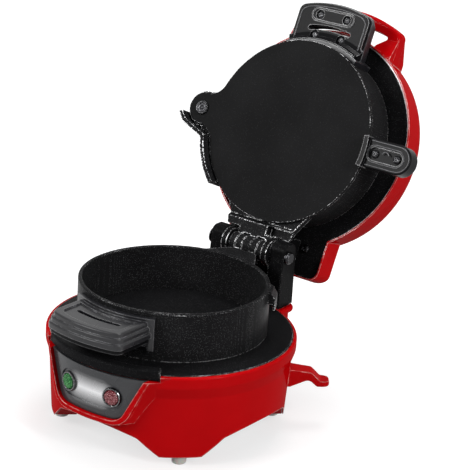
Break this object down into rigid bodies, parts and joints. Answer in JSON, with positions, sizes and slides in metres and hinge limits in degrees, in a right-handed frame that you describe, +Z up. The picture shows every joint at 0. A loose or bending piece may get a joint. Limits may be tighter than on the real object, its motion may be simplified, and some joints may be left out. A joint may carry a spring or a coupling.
{
  "type": "breakfast sandwich maker",
  "caption": "Countertop breakfast sandwich maker with a heated base and lid, hinged cooking rings and a swing-out cooking plate, standing open.",
  "frame": {"origin": "on the table under the axis of the food rings, at the height of the feet's soles", "axes": "+Z up, -Y is the front with the indicator lamps, +X is the machine's right with the plate's handle seen from the front; drawn with the lid and the upper ring open"},
  "size_m": [0.1716, 0.2694, 0.2315],
  "materials": {
    "red_shell": "gloss",
    "black_cast": "satin",
    "grey_grip": "matte",
    "steel": "brushed",
    "screw_steel": "satin",
    "panel_grey": "satin",
    "green_window": "gloss",
    "red_window": "gloss",
    "bright_trim": "polished",
    "foot_rubber": "matte",
    "pale_plastic": "matte",
    "heater_sheath": "satin",
    "element_aluminium": "satin"
  },
  "bodies": {
    "base": {"base_housing": "red_shell", "feet": "foot_rubber", "bottom_cover": "steel", "bottom_cover_screws": "screw_steel", "heating_plate_screws": "screw_steel", "lower_heating_plate": "black_cast", "lower_element": "heater_sheath", "heat_shield": "steel", "heat_shield_screws": "screw_steel", "thermostat": "pale_plastic", "thermal_fuse": "pale_plastic", "indicator_panel": "panel_grey", "green_lens": "green_window", "red_lens": "red_window", "lens_bezels": "bright_trim", "indicator_lamps": "pale_plastic", "bottom_ring": "black_cast", "bottom_ring_handle": "grey_grip", "bottom_handle_cover": "grey_grip", "bottom_handle_screws": "screw_steel", "hinge_posts": "black_cast", "hinge_post_screws": "screw_steel", "hinge_pin": "steel", "hinge_pin_clip": "steel", "cord_gland": "grey_grip"},
    "upper_ring": {"top_ring": "black_cast", "top_ring_handle": "grey_grip", "top_handle_cover": "grey_grip", "top_handle_screws": "screw_steel", "plate_pivot": "steel"},
    "swing_plate": {"cooking_plate": "black_cast", "plate_handle": "grey_grip", "plate_handle_screws": "screw_steel"},
    "lid": {"lid_housing": "red_shell", "lid_handle": "red_shell", "lid_handle_screws": "screw_steel", "upper_heating_plate": "black_cast", "upper_plate_screws": "screw_steel", "upper_element": "element_aluminium", "upper_thermostat": "pale_plastic", "lid_hinge_arms": "black_cast", "lid_hinge_screws": "screw_steel"}
  },
  "joints": [
    {"name": "lid_hinge", "type": "hinge", "parent": "base", "child": "lid", "pos_m": [0, 0.0756, 0.0893], "axis": [1, 0, 0], "range_deg": [0, 115]},
    {"name": "top_ring_hinge", "type": "hinge", "parent": "base", "child": "upper_ring", "pos_m": [0, 0.0756, 0.0893], "axis": [1, 0, 0], "range_deg": [0, 113.8]},
    {"name": "plate_swing", "type": "hinge", "parent": "upper_ring", "child": "swing_plate", "pos_m": [-0.0674, 0.10789, 0.15768], "axis": [0, 0.915, -0.4035], "range_deg": [-115, 0]}
  ],
  "couplings": [
    {"joint": "top_ring_hinge", "follows": "lid_hinge", "ratio": 0.9895}
  ]
}
